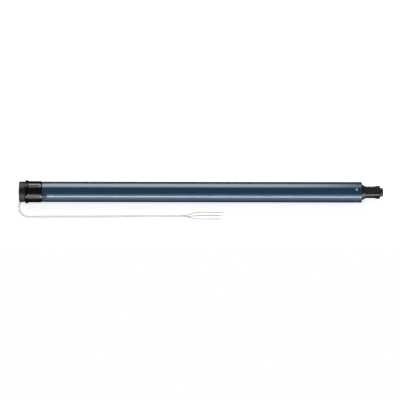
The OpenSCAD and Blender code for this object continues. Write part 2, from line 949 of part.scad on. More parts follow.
module slot_shape(inset) {
    half = 180 / slot_count * 0.62;
    low = slot_low + inset;
    high = slot_high - inset;
    polygon([
        [low, -low * tan(half) + inset], [high, -high * tan(half) + inset],
        [high, high * tan(half) - inset], [low, low * tan(half) - inset]
    ]);
}

module stator_core() {
    color(steel)
        along(stack_x)
            linear_extrude(stack_len)
                difference() {
                    circle(fill_r);
                    circle(d = stator_bore_d);
                    for (i = [0:slot_count - 1])
                        rotate([0, 0, 360 * i / slot_count]) {
                            slot_shape(0);
                            translate([0, -slot_mouth / 2])
                                square([slot_low + over / 2, slot_mouth]);
                        }
                }
}

module stator_winding() {
    low = slot_low + snug;
    high = slot_high - snug;
    edge = 2;
    color(copper)
        along(stack_x) {
            translate([0, 0, -over])
                linear_extrude(stack_len + 2 * over)
                    for (i = [0:slot_count - 1])
                        rotate([0, 0, 360 * i / slot_count])
                            slot_shape(snug);
            for (end = [0, 1])
                translate([0, 0, end * (stack_len + play + overhang) - (1 - end) * play])
                    mirror([0, 0, 1 - end])
                        translate([0, 0, -end * overhang])
                            rotate_extrude()
                                difference() {
                                    translate([low, 0])
                                        square([high - low, overhang - play]);
                                    corner(high, overhang - play, edge, 1);
                                }
        }
}

module rotor_core() {
    color(steel)
        along(stack_x)
            ring(rotor_r, shaft_r + snug, stack_len);
}

module rotor_end_rings() {
    color("silver")
        for (x = [stack_x - end_ring_len, stack_x + stack_len])
            along(x)
                ring(rotor_r - 0.4, shaft_r + 1.2, end_ring_len);
}

module rotor_shaft() {
    start = rear_shield_x + over;
    color(steel) {
        along(start)
            cylinder(r = shaft_r, h = shaft_end - start);
        along(collar_x)
            cylinder(r = collar_r, h = collar_len);
    }
}

// Brake and coupling

module brake_housing() {
    color(steel)
        along(brake_x) {
            ring(fill_r, fill_r - brake_wall, brake_len);
            translate([0, 0, brake_len - brake_wall])
                ring(fill_r - brake_wall / 2, shaft_r + 2, brake_wall);
        }
}

module brake_lining() {
    color("saddlebrown")
        along(lining_x)
            ring(brake_d / 2 - over, brake_d / 2 - 7, lining_t);
}

module brake_disc() {
    color("slategray")
        along(disc_x - disc_hub_len)
            difference() {
                union() {
                    cylinder(r = collar_r, h = disc_hub_len + over);
                    translate([0, 0, disc_hub_len])
                        cylinder(d = brake_d, h = brake_disc_t);
                }
                translate([0, 0, -over])
                    cylinder(r = shaft_r + running, h = brake_len);
            }
}

module brake_spring() {
    start = spring_x + spring_wire / 2 + snug;
    end = disc_x - disc_hub_len - brake_travel - spring_wire / 2 - 2 * snug;
    coil_r = (shaft_r + collar_r) / 2;
    turn_steps = 16;
    count = spring_turns * turn_steps;
    route = [
        for (i = [0:count])
            let (place = polar(coil_r, 360 * i / turn_steps))
            [start + (end - start) * i / count, place[0], place[1]]
    ];
    color("silver")
        swept(route, spring_wire, 6, [1, 0, 0]);
}

// Half of the coupling: a plate with three jaws on its far side
jaw_width = 42;
spider_hole_r = 5;

module sector(width) {
    reach = coupling_d;
    polygon([[0, 0], polar(reach, -width / 2), polar(reach, 0), polar(reach, width / 2)]);
}

module jaws(turn) {
    intersection() {
        ring(coupling_d / 2, spider_hole_r + 2, jaw_len);
        linear_extrude(jaw_len)
            for (i = [0:2])
                rotate([0, 0, turn + 120 * i])
                    sector(jaw_width);
    }
}

module coupling_hub() {
    color("slategray")
        along(hub_x) {
            difference() {
                cylinder(d = coupling_d, h = jaw_plate_t);
                translate([0, 0, -over])
                    cylinder(r = shaft_r + snug, h = jaw_plate_t + 2 * over);
            }
            translate([0, 0, jaw_plate_t])
                jaws(0);
        }
}

module coupling_spider() {
    leg = 60 - jaw_width;
    color("orangered")
        along(hub_x + jaw_plate_t + snug)
            linear_extrude(jaw_len + play - 2 * snug)
                difference() {
                    union() {
                        circle(spider_hole_r + 2 - snug);
                        intersection() {
                            circle(d = coupling_d - over);
                            for (i = [0:5])
                                rotate([0, 0, 30 + 60 * i])
                                    sector(leg - 1);
                        }
                    }
                    circle(spider_hole_r);
                }
}

module input_pinion() {
    color(steel) {
        along(pinion_hub_x)
            cylinder(d = coupling_d, h = jaw_plate_t);
        along(pinion_hub_x - jaw_len)
            jaws(60);
        along(pinion_hub_x + jaw_plate_t - over)
            cylinder(r = pinion_journal_r, h = planet_1_x - pinion_hub_x - jaw_plate_t + over - play / 4);
        along(planet_1_x - play / 2)
            linear_extrude(planet_1_w + play / 2)
                gear_shape(sun_teeth, sun_turn);
    }
}

// Gearbox

module gearbox_cover() {
    color(steel)
        along(cover_x)
            ring(fill_r, pinion_journal_r + running, cover_t);
}

module ring_gear() {
    r = pitch_r(ring_teeth);
    space = gear_points(
        ring_teeth, r - addendum * gear_module, r + dedendum * gear_module, half_tooth(ring_teeth, -backlash));
    color("slategray")
        along(ring_x)
            difference() {
                cylinder(r = fill_r, h = flange_x - ring_x);
                translate([0, 0, -over])
                    linear_extrude(flange_x - ring_x + 2 * over)
                        polygon(space);
            }
}

module planet(x, width, index) {
    place = polar(centre_distance, 120 * index);
    color("wheat")
        along(x)
            translate([place[0], place[1], 0])
                difference() {
                    linear_extrude(width)
                        gear_shape(planet_teeth);
                    translate([0, 0, -over])
                        cylinder(r = pin_r + running, h = width + 2 * over);
                }
}

// Plate with the pins of its planets, which lie before it
module carrier(x, thickness, width) {
    along(x)
        cylinder(r = plate_r, h = thickness);
    along(x - width - play)
        around(3, centre_distance)
            cylinder(r = pin_r, h = width + play + over);
}

// Sun gear on the far side of a carrier
module next_sun(x, thickness, width) {
    along(x + thickness - over)
        linear_extrude(width + play + over)
            gear_shape(sun_teeth, sun_turn);
}

module planet_1a() planet(planet_1_x, planet_1_w, 0);
module planet_1b() planet(planet_1_x, planet_1_w, 1);
module planet_1c() planet(planet_1_x, planet_1_w, 2);
module planet_2a() planet(planet_2_x, planet_2_w, 0);
module planet_2b() planet(planet_2_x, planet_2_w, 1);
module planet_2c() planet(planet_2_x, planet_2_w, 2);
module planet_3a() planet(planet_3_x, planet_3_w, 0);
module planet_3b() planet(planet_3_x, planet_3_w, 1);
module planet_3c() planet(planet_3_x, planet_3_w, 2);

module planet_carrier_1() {
    color(steel) {
        carrier(carrier_1_x, carrier_1_t, planet_1_w);
        next_sun(carrier_1_x, carrier_1_t, planet_2_w);
    }
}

module planet_carrier_2() {
    color(steel) {
        carrier(carrier_2_x, carrier_2_t, planet_2_w);
        next_sun(carrier_2_x, carrier_2_t, planet_3_w);
    }
}

module output_carrier() {
    color(steel) {
        carrier(carrier_3_x, carrier_3_t, planet_3_w);
        along(carrier_3_x + carrier_3_t - over)
            cylinder(r = spindle_r, h = drive_x - play / 2 - carrier_3_x - carrier_3_t + over);
        along(drive_x - play / 2 - over)
            cylinder(r = spindle_end_r, h = spindle_end - drive_x + play / 2 + over);
    }
}

module output_flange() {
    face_r = lip_d / 2 - snug;
    color(black)
        difference() {
            along(0)
                rotate_extrude()
                    polygon([
                        [bush_r + snug, flange_x], [fill_r, flange_x], [fill_r, flange_end - snug],
                        [face_r, flange_end - snug], [face_r, tube_end], [cone_d / 2, tube_end],
                        [drive_r + play, cone_end], [bush_r + snug, cone_end]
                    ]);
            for (i = [0:rivet_count - 1])
                outward(tube_end - rivet_inset, rivet_angle + 360 * i / rivet_count)
                    translate([0, 0, bore_r - rivet_len + tube_wall - snug])
                        cylinder(d = rivet_d + 2 * snug, h = tube_d);
        }
}

module output_bushes() {
    color(bronze)
        for (x = [flange_x, seal_x - play - bush_len])
            along(x)
                ring(bush_r, spindle_r + running, bush_len);
}

module shaft_seal() {
    color("dimgray")
        along(seal_x)
            ring(bush_r, spindle_r + running, shaft_seal_w);
}

// Drive shaft

latch_w = 2 * PI * drive_r / rib_count - rib_groove_w;
heel_r = 1;
latch_x = rib_end - latch_len;
pocket_r = core_r - 1;
latch_angles = [rib_angle, rib_angle + 180];

module drive_shaft() {
    tip_end = rib_end + tip_len;
    chamfer = 1;
    color(black)
        difference() {
            along(0)
                rotate_extrude()
                    difference() {
                        union() {
                            translate([0, drive_x])
                                square([drive_r, rib_len]);
                            translate([0, rib_end - over])
                                square([tip_d / 2, tip_len + over]);
                        }
                        corner(tip_d / 2, tip_end, tip_edge_r, 1);
                        translate([drive_r, rib_end])
                            rotate([0, 0, 45])
                                square(chamfer * sqrt(2), center = true);
                    }
            for (i = [0:rib_count - 1])
                outward(drive_x + rib_len / 2, rib_angle + 360 * (i + 0.5) / rib_count, core_r)
                    translate([-rib_len, -rib_groove_w / 2, 0])
                        cube([2 * rib_len, rib_groove_w, drive_r]);
            for (a = latch_angles)
                outward(latch_x, a, pocket_r)
                    translate([-latch_len - tip_len, -latch_w, 0])
                        cube([latch_len + tip_len + play, 2 * latch_w, drive_r]);
            for (a = latch_angles)
                outward(latch_x + heel_r, a, pocket_r)
                    rotate([90, 0, 0])
                        cylinder(r = heel_r + running, h = latch_w + 2 * play, center = true, $fn = 32);
            along(drive_x - over)
                cylinder(r = spindle_end_r + snug, h = spindle_end - drive_x + over + play);
        }
}

// Tongue over the core, with a ramped nose at its free end and a round heel that rocks in the shaft
module latch(angle) {
    tongue = drive_r - latch_t;
    nose = latch_d / 2;
    end = rib_end - play;
    span = end - latch_x;
    color(black)
        intersection() {
            along(0)
                rotate_extrude()
                    polygon([
                        [pocket_r / 2, latch_x], [drive_r, latch_x], [drive_r, end - nose_len],
                        [nose, end - nose_len * 0.54], [nose, end - nose_len * 0.14], [nose - 0.5, end - 0.5],
                        [drive_r - latch_t / 2, end], [pocket_r / 2, end]
                    ]);
            outward(latch_x, angle)
                rotate([90, 0, 0])
                    linear_extrude(latch_w, center = true) {
                        translate([-heel_r, pocket_r])
                            circle(heel_r, $fn = 32);
                        translate([-2 * heel_r, pocket_r])
                            square([2 * heel_r, drive_d - pocket_r]);
                        translate([-span, tongue])
                            square([span, drive_d - tongue]);
                    }
        }
}

module latch_upper() latch(latch_angles[0]);
module latch_lower() latch(latch_angles[1]);

// Cable

module mains_cable() color("whitesmoke") swept(cable_route, cable_d, 10);
module wire_earth() color("yellowgreen") swept(earth_route, core_d, 8);
module wire_live() color("saddlebrown") swept(live_route, core_d, 8);
module wire_neutral() color("royalblue") swept(neutral_route, core_d, 8);

module wire_tips() {
    color(copper)
        for (route = [earth_route, live_route, neutral_route])
            translate(route[len(route) - 1])
                along(0)
                    cylinder(d = strand_d, h = strip_len);
}

motor_tube();
head_cap();
head_neck();
cap_screws();
head_seal();
cable_grommet();
prog_button();
prog_switch();
crown();
terminal_block();
board_tray();
circuit_board();
relays();
supply_transformer();
radio_module();
run_capacitor();
capacitor_cradle();
motor_leads();
rear_end_shield();
front_end_shield();
rotor_bushes();
stator_core();
stator_winding();
rotor_core();
rotor_end_rings();
rotor_shaft();
brake_housing();
brake_lining();
brake_disc();
brake_spring();
coupling_hub();
coupling_spider();
input_pinion();
gearbox_cover();
ring_gear();
planet_1a();
planet_1b();
planet_1c();
planet_carrier_1();
planet_2a();
planet_2b();
planet_2c();
planet_carrier_2();
planet_3a();
planet_3b();
planet_3c();
output_carrier();
output_flange();
output_bushes();
shaft_seal();
flange_rivets();
drive_shaft();
latch_upper();
latch_lower();
mains_cable();
wire_earth();
wire_live();
wire_neutral();
wire_tips();
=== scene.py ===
import math
import bpy
from mathutils import Matrix, Vector


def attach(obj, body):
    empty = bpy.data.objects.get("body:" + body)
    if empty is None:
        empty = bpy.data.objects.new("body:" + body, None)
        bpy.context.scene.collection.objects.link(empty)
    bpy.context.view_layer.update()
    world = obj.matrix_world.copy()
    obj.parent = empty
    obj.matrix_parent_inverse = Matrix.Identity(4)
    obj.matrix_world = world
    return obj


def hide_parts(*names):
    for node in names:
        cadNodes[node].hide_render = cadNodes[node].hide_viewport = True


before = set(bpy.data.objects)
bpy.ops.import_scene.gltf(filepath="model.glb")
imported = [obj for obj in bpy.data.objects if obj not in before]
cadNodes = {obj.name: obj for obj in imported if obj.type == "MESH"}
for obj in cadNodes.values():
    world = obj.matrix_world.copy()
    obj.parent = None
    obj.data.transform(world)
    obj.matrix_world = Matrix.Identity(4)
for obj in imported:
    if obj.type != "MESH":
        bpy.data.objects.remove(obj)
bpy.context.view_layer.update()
print("frame loaded,", len(cadNodes), "nodes")

mm = 0.001
scene = bpy.context.scene
scene.view_settings.view_transform = "Standard"

# camera: a long lens in front of the tube, looking down at it as the photo does
viewSettings = {
    "elevation": 48.0,
    "distance": 6.0,
    "frameWidth": 0.874,  # metres across the picture at the tube
    "middleX": 0.3952,
    "axisAbove": 0.0174,  # the tube's axis lies this far above the picture's middle
    "roll": 0.1,
    "sensor": 36.0,
    "clip": (0.1, 60.0),
}


def addCamera(settings):
    rise = math.radians(settings["elevation"])
    back = Vector((0, -math.cos(rise), math.sin(rise)))
    up = Vector((0, math.sin(rise), math.cos(rise)))
    aim = Vector((settings["middleX"], 0, 0)) - up * settings["axisAbove"]
    lens = bpy.data.cameras.new("productCamera")
    lens.sensor_width = settings["sensor"]
    lens.lens = settings["sensor"] * settings["distance"] / settings["frameWidth"]
    lens.clip_start, lens.clip_end = settings["clip"]
    camera = bpy.data.objects.new("productCamera", lens)
    scene.collection.objects.link(camera)
    turn = Matrix.Rotation(math.radians(settings["roll"]), 4, back)
    facing = (-back).to_track_quat("-Z", "Y").to_matrix().to_4x4()
    camera.matrix_world = Matrix.Translation(aim + back * settings["distance"]) @ turn @ facing
    scene.camera = camera


addCamera(viewSettings)

# small helpers for node trees
colourInputs = (6, 7)  # the Mix node's two colour sockets
colourOutput = 2
white = (1, 1, 1, 1)


def feed(tree, socket, value):  # another node's output is linked, a plain value is set
    if isinstance(value, bpy.types.NodeSocket):
        tree.links.new(value, socket)
    else:
        socket.default_value = value


def mathNode(tree, operation, first, second=0.0):
    node = tree.nodes.new("ShaderNodeMath")
    node.operation = operation
    feed(tree, node.inputs[0], first)
    feed(tree, node.inputs[1], second)
    return node.outputs[0]


def mixColours(tree, factor, first, second):
    node = tree.nodes.new("ShaderNodeMix")
    node.data_type = "RGBA"
    tree.links.new(factor, node.inputs["Factor"])
    for slot, value in zip(colourInputs, (first, second)):
        feed(tree, node.inputs[slot], value)
    return node.outputs[colourOutput]


# floor: the motor lies on a stop lug and on the tube's far end, so the paper is tipped to meet both
floorSettings = {
    "lugX": 0.016,
    "lugZ": -0.0255,
    "slope": 0.0041,
    "drop": 0.0002,  # kept clear of the solids by this much
    "half": 6.0,
    "frontEdge": -0.15,  # the paper ends in front of the lead, and the low softbox stands beyond it
    "roughness": 0.9,
    "colour": (0.6, 0.6, 0.6, 1),
    "mirrorShadeColour": (0.08, 0.08, 0.08, 1),  # painted shade: reflections see the lit paper this much darker than it is
    "lift": 0.78,  # glow added for the camera, so the lit paper comes out white
    "mirrorLift": 0.9,  # the same for reflections
    "bounce": 0.78,  # and for what lights the lead from below
    "mirrorStart": -0.025,  # reflections see the glow only in front of the tube
    "mirrorFull": -0.06,
}


def newPaper(settings):
    paper = bpy.data.materials.new("floorPaper")
    paper.use_nodes = True
    tree = paper.node_tree
    shade = tree.nodes["Principled BSDF"]
    shade.inputs["Roughness"].default_value = settings["roughness"]
    shade.inputs["Specular IOR Level"].default_value = 0.0
    path = tree.nodes.new("ShaderNodeLightPath")
    # reflections take the darker colour, painted shade on the paper as the gloss sees it
    colour = mixColours(tree, path.outputs["Is Glossy Ray"], settings["colour"], settings["mirrorShadeColour"])
    tree.links.new(colour, shade.inputs["Base Color"])
    place = tree.nodes.new("ShaderNodeTexCoord")
    split = tree.nodes.new("ShaderNodeSeparateXYZ")
    fade = tree.nodes.new("ShaderNodeMapRange")
    fade.inputs["From Min"].default_value = settings["mirrorStart"]
    fade.inputs["From Max"].default_value = settings["mirrorFull"]
    tree.links.new(place.outputs["Object"], split.inputs[0])
    tree.links.new(split.outputs["Y"], fade.inputs["Value"])
    seen = mathNode(tree, "MULTIPLY", path.outputs["Is Camera Ray"], settings["lift"])
    bounced = mathNode(tree, "MULTIPLY", path.outputs["Is Diffuse Ray"], settings["bounce"])
    mirrored = mathNode(tree, "MULTIPLY", path.outputs["Is Glossy Ray"], settings["mirrorLift"])
    mirrored = mathNode(tree, "MULTIPLY", mirrored, fade.outputs[0])
    level = mathNode(tree, "ADD", mathNode(tree, "ADD", seen, bounced), mirrored)
    glow = tree.nodes.new("ShaderNodeEmission")
    tree.links.new(level, glow.inputs["Strength"])
    both = tree.nodes.new("ShaderNodeAddShader")
    tree.links.new(shade.outputs[0], both.inputs[0])
    tree.links.new(glow.outputs[0], both.inputs[1])
    tree.links.new(both.outputs[0], tree.nodes["Material Output"].inputs["Surface"])
    return paper


def addFloor(settings):
    half = settings["half"]
    front = settings["frontEdge"]
    level = settings["lugZ"] - settings["drop"]
    corners = [(-half, front), (half, front), (half, half), (-half, half)]
    points = [(x, y, level + settings["slope"] * (x - settings["lugX"])) for x, y in corners]
    mesh = bpy.data.meshes.new("studioFloor")
    mesh.from_pydata(points, [], [(0, 1, 2, 3)])
    mesh.materials.append(newPaper(settings))
    floor = bpy.data.objects.new("studioFloor", mesh)
    scene.collection.objects.link(floor)


addFloor(floorSettings)

# light: a long softbox behind and above, a low one in front with a weak one over it, and an overhead one
# that the gloss doesn't mirror
lightSettings = {
    "rearSoftbox": {"angle": 53.0, "middle": -0.39, "reach": 1.7, "long": 2.4, "wide": 1.45, "watts": 39.0},
    "frontSoftbox": {"angle": 187.0, "middle": 0.7, "reach": 1.9, "long": 5.2, "wide": 0.35, "watts": 56.0},
    "fillSoftbox": {"angle": 168.0, "middle": 0.4, "reach": 1.9, "long": 2.8, "wide": 0.5, "watts": 5.0},
    "topSoftbox": {
        "angle": 122.0, "middle": 1.0, "reach": 2.0, "long": 3.0, "wide": 1.6, "watts": 18.0,
        "mirrored": False},
}
roomSettings = {"colour": (0.9, 0.95, 1.0, 1), "strength": 0.04}


def addSoftbox(name, settings):
    turn = math.radians(settings["angle"])  # counted from +Y towards +Z
    way = Vector((0, math.cos(turn), math.sin(turn)))
    lamp = bpy.data.lights.new(name, "AREA")
    lamp.shape = "RECTANGLE"
    lamp.size = settings["long"]
    lamp.size_y = settings["wide"]
    lamp.energy = settings["watts"]
    holder = bpy.data.objects.new(name, lamp)
    holder.visible_glossy = settings.get("mirrored", True)
    scene.collection.objects.link(holder)
    place = Vector((settings["middle"], 0, 0)) + way * settings["reach"]
    across = Vector((1, 0, 0))
    facing = Matrix((across, way.cross(across), way)).transposed().to_4x4()
    holder.matrix_world = Matrix.Translation(place) @ facing


def addRoom(settings):  # dim for the object, white for the camera
    world = bpy.data.worlds.new("studioRoom")
    world.use_nodes = True
    tree = world.node_tree
    wall = tree.nodes["Background"]
    wall.inputs["Color"].default_value = settings["colour"]
    wall.inputs["Strength"].default_value = settings["strength"]
    backdrop = tree.nodes.new("ShaderNodeBackground")
    backdrop.inputs["Color"].default_value = white
    path = tree.nodes.new("ShaderNodeLightPath")
    mix = tree.nodes.new("ShaderNodeMixShader")
    tree.links.new(path.outputs["Is Camera Ray"], mix.inputs["Fac"])
    tree.links.new(wall.outputs[0], mix.inputs[1])
    tree.links.new(backdrop.outputs[0], mix.inputs[2])
    tree.links.new(mix.outputs[0], tree.nodes["World Output"].inputs["Surface"])
    scene.world = world


for lampName, lampSettings in lightSettings.items():
    addSoftbox(lampName, lampSettings)
addRoom(roomSettings)
print("camera, floor and light set")


# shader groups shared by the finishes
def newGroup(name, inputs, outputs):
    group = bpy.data.node_groups.new(name, "ShaderNodeTree")
    for label, value in inputs.items():
        socket = group.interface.new_socket(name=label, in_out="INPUT", socket_type="NodeSocketFloat")
        socket.default_value = value
    for label in outputs:
        group.interface.new_socket(name=label, in_out="OUTPUT", socket_type="NodeSocketFloat")
    return group, group.nodes.new("NodeGroupInput"), group.nodes.new("NodeGroupOutput")


def stretched(tree, scale=(1, 1, 1)):
    place = tree.nodes.new("ShaderNodeTexCoord")
    mapping = tree.nodes.new("ShaderNodeMapping")
    mapping.inputs["Scale"].default_value = scale
    tree.links.new(place.outputs["Object"], mapping.inputs["Vector"])
    return mapping.outputs["Vector"]


def noiseNode(tree, vector, scale, detail):
    node = tree.nodes.new("ShaderNodeTexNoise")
    node.inputs["Detail"].default_value = detail
    tree.links.new(vector, node.inputs["Vector"])
    feed(tree, node.inputs["Scale"], scale)
    return node.outputs["Fac"]


def swing(tree, noise, spread):  # noise turned into a push up or down round zero
    return mathNode(tree, "MULTIPLY", mathNode(tree, "SUBTRACT", noise, 0.5), spread)


def clampedShare(tree, value, span):
    share = mathNode(tree, "DIVIDE", value, span)
    return mathNode(tree, "MINIMUM", mathNode(tree, "MAXIMUM", share, 0.0), 1.0)


mouldSettings = {"detail": 3, "driftScale": 45.0, "driftDetail": 4}
drawnSettings = {
    "along": (0.02, 1, 1),  # noise squeezed along the part, so that it draws out into lines
    "detail": 3,
    "driftAlong": (0.2, 1, 1),
    "driftScale": 60.0,
    "driftDetail": 4,
}
dustSettings = {"grainSize": 0.09, "patchScale": 140.0, "patchDetail": 2, "patchStart": 0.6}


def buildMouldGrain(settings):  # fine spark-eroded texture of a moulded part
    group, enter, leave = newGroup(
        "mouldGrain", {"Scale": 2200.0, "Roughness": 0.45, "Spread": 0.12}, ["Height", "Roughness", "Shade"])
    plain = stretched(group)
    fine = noiseNode(group, plain, enter.outputs["Scale"], settings["detail"])
    wide = noiseNode(group, plain, settings["driftScale"], settings["driftDetail"])
    drift = swing(group, wide, enter.outputs["Spread"])
    speckle = swing(group, fine, enter.outputs["Spread"])
    total = mathNode(group, "ADD", mathNode(group, "ADD", drift, speckle), enter.outputs["Roughness"])
    group.links.new(fine, leave.inputs["Height"])
    group.links.new(total, leave.inputs["Roughness"])
    group.links.new(wide, leave.inputs["Shade"])
    return group


def buildDrawnLines(settings):  # fine lines left along the part by drawing, rolling or extruding
    group, enter, leave = newGroup(
        "drawnLines", {"Scale": 900.0, "Roughness": 0.3, "Spread": 0.15}, ["Height", "Roughness", "Shade"])
    lines = noiseNode(group, stretched(group, settings["along"]), enter.outputs["Scale"], settings["detail"])
    wide = noiseNode(
        group, stretched(group, settings["driftAlong"]), settings["driftScale"], settings["driftDetail"])
    total = mathNode(group, "ADD", swing(group, lines, enter.outputs["Spread"]), enter.outputs["Roughness"])
    group.links.new(lines, leave.inputs["Height"])
    group.links.new(total, leave.inputs["Roughness"])
    group.links.new(wide, leave.inputs["Shade"])
    return group


def buildDustSpecks(settings):  # a few grains of dust, gathered in patches
    group, enter, leave = newGroup("dustSpecks", {"Scale": 700.0, "Amount": 0.3}, ["Mask"])
    plain = stretched(group)
    cells = group.nodes.new("ShaderNodeTexVoronoi")
    group.links.new(plain, cells.inputs["Vector"])
    group.links.new(enter.outputs["Scale"], cells.inputs["Scale"])
    near = mathNode(group, "LESS_THAN", cells.outputs["Distance"], settings["grainSize"])
    noise = noiseNode(group, plain, settings["patchScale"], settings["patchDetail"])
    patch = mathNode(group, "GREATER_THAN", noise, settings["patchStart"])
    both = mathNode(group, "MULTIPLY", mathNode(group, "MULTIPLY", near, patch), enter.outputs["Amount"])
    group.links.new(both, leave.inputs["Mask"])
    return group


def buildProudMask():  # picks out what stands proud of a radius round the motor's axis, between two stations
    limits = {"Radius": 0.0228, "Blend": 0.0002, "Start": 0.0, "End": 1.0, "Fade": 0.003, "Tail": 0.0}
    group, enter, leave = newGroup("proudMask", limits, ["Mask"])
    split = group.nodes.new("ShaderNodeSeparateXYZ")
    group.links.new(stretched(group), split.inputs[0])
    after = mathNode(group, "SUBTRACT", split.outputs["X"], enter.outputs["Start"])
    before = mathNode(group, "SUBTRACT", enter.outputs["End"], split.outputs["X"])
    ends = [clampedShare(group, way, enter.outputs["Fade"]) for way in (after, before)]
    within = mathNode(group, "MULTIPLY", ends[0], ends[1])
    within = mathNode(group, "MAXIMUM", within, enter.outputs["Tail"])
    squares = [mathNode(group, "MULTIPLY", split.outputs[axis], split.outputs[axis]) for axis in ("Y", "Z")]
    radius = mathNode(group, "SQRT", mathNode(group, "ADD", squares[0], squares[1]))
    past = mathNode(group, "SUBTRACT", radius, enter.outputs["Radius"])
    share = clampedShare(group, past, enter.outputs["Blend"])
    group.links.new(mathNode(group, "MULTIPLY", share, within), leave.inputs["Mask"])
    return group


mouldGrain = buildMouldGrain(mouldSettings)
drawnLines = buildDrawnLines(drawnSettings)
dustSpecks = buildDustSpecks(dustSettings)
proudMask = buildProudMask()
print("shader groups built")

# what a finish has unless its own lines say otherwise, with lengths in millimetres
usualFinish = {
    "metallic": 0.0,
    "ior": 1.5,
    "specular": 0.5,
    "tint": white,
    "coat": 0.0,
    "coatRoughness": 0.1,
    "coatIor": 1.5,
    "lighten": 0.15,  # "vary" darkens the colour in full and lightens it by this share
    "depth": 0.02,  # height of the bump
    "edge": 0.0,  # radius of the softened edges
    "edgeSamples": 6,
    "dust": 0.0,
    "dustScale": 700.0,
    "dustColour": (0.55, 0.55, 0.54, 1),
}
plainSockets = {
    "Metallic": "metallic",
    "IOR": "ior",
    "Specular IOR Level": "specular",
    "Specular Tint": "tint",
    "Coat Weight": "coat",
    "Coat Roughness": "coatRoughness",
    "Coat IOR": "coatIor",
}


def placeGroup(tree, group, values):
    node = tree.nodes.new("ShaderNodeGroup")
    node.node_tree = group
    for label, value in values.items():
        node.inputs[label].default_value = value
    return node


def lightened(colour, share):
    return tuple(c + (1 - c) * share for c in colour[:3]) + (1,)


def darkened(colour, share):
    return tuple(c * (1 - share) for c in colour[:3]) + (1,)


def newFinish(name, ownSettings):
    settings = {**usualFinish, **ownSettings}
    finish = bpy.data.materials.new(name)
    finish.use_nodes = True
    tree = finish.node_tree
    shade = tree.nodes["Principled BSDF"]
    for label, key in plainSockets.items():
        shade.inputs[label].default_value = settings[key]
    grain = placeGroup(tree, settings["grain"], {
        "Scale": settings["grainScale"], "Roughness": settings["roughness"], "Spread": settings["spread"]})
    rough = grain.outputs["Roughness"]
    if "proud" in settings:  # matt and dark below a radius, polished by use above it
        proud = settings["proud"]
        values = {label: proud[label] * mm for label in ("Radius", "Blend", "Start", "End", "Fade")}
        mask = placeGroup(tree, proudMask, {**values, "Tail": proud["Tail"]}).outputs["Mask"]
        sunk = mathNode(tree, "SUBTRACT", 1.0, mask)
        rough = mathNode(tree, "ADD", rough, mathNode(tree, "MULTIPLY", sunk, proud["sunkRoughness"]))
        tree.links.new(mathNode(tree, "MULTIPLY", mask, settings["coat"]), shade.inputs["Coat Weight"])
    tree.links.new(rough, shade.inputs["Roughness"])
    dark = darkened(settings["colour"], settings["vary"])
    light = lightened(settings["colour"], settings["vary"] * settings["lighten"])
    colour = mixColours(tree, grain.outputs["Shade"], dark, light)
    if settings["dust"]:
        dust = placeGroup(tree, dustSpecks, {"Scale": settings["dustScale"], "Amount": settings["dust"]})
        colour = mixColours(tree, dust.outputs["Mask"], colour, settings["dustColour"])
    tree.links.new(colour, shade.inputs["Base Color"])
    bump = tree.nodes.new("ShaderNodeBump")
    bump.inputs["Strength"].default_value = settings["bump"]
    bump.inputs["Distance"].default_value = settings["depth"] * mm
    tree.links.new(grain.outputs["Height"], bump.inputs["Height"])
    if settings["edge"]:
        edge = tree.nodes.new("ShaderNodeBevel")
        edge.samples = settings["edgeSamples"]
        edge.inputs["Radius"].default_value = settings["edge"] * mm
        tree.links.new(edge.outputs["Normal"], bump.inputs["Normal"])
    tree.links.new(bump.outputs["Normal"], shade.inputs["Normal"])
    return finish


